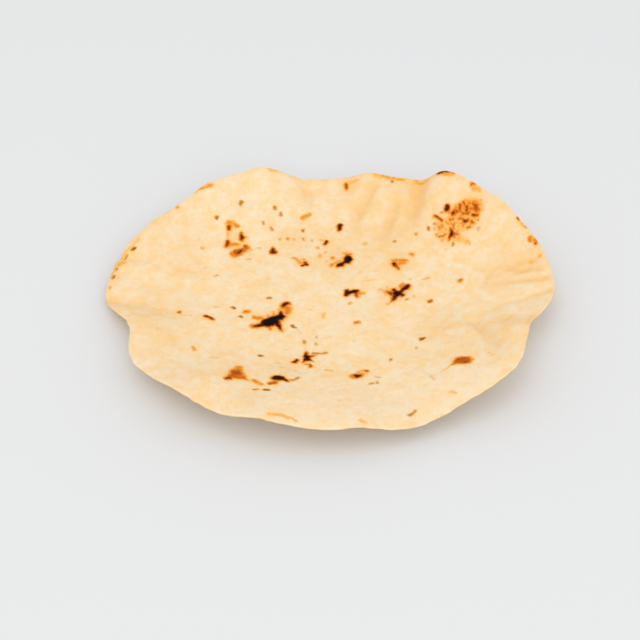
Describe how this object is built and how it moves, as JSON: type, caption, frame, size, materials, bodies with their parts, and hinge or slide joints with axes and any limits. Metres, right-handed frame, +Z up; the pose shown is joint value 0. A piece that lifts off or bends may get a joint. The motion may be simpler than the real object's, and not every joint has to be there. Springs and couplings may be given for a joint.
{
  "type": "bhakri",
  "caption": "Thin round unleavened flatbread, flat in the middle and curled up all round into a shallow dish, with a ruffled back edge and scorch marks.",
  "frame": {"origin": "on the table, under the middle of the bread's bounding box", "axes": "+X along the bread's widest way, to its right; +Y to its ruffled back edge; +Z up, through the bread's thickness"},
  "size_m": [0.2008, 0.1782, 0.0254],
  "materials": {
    "crust": "matt, dry, dusted with flour"
  },
  "bodies": {
    "root": {"bhakri": "crust"}
  },
  "joints": []
}
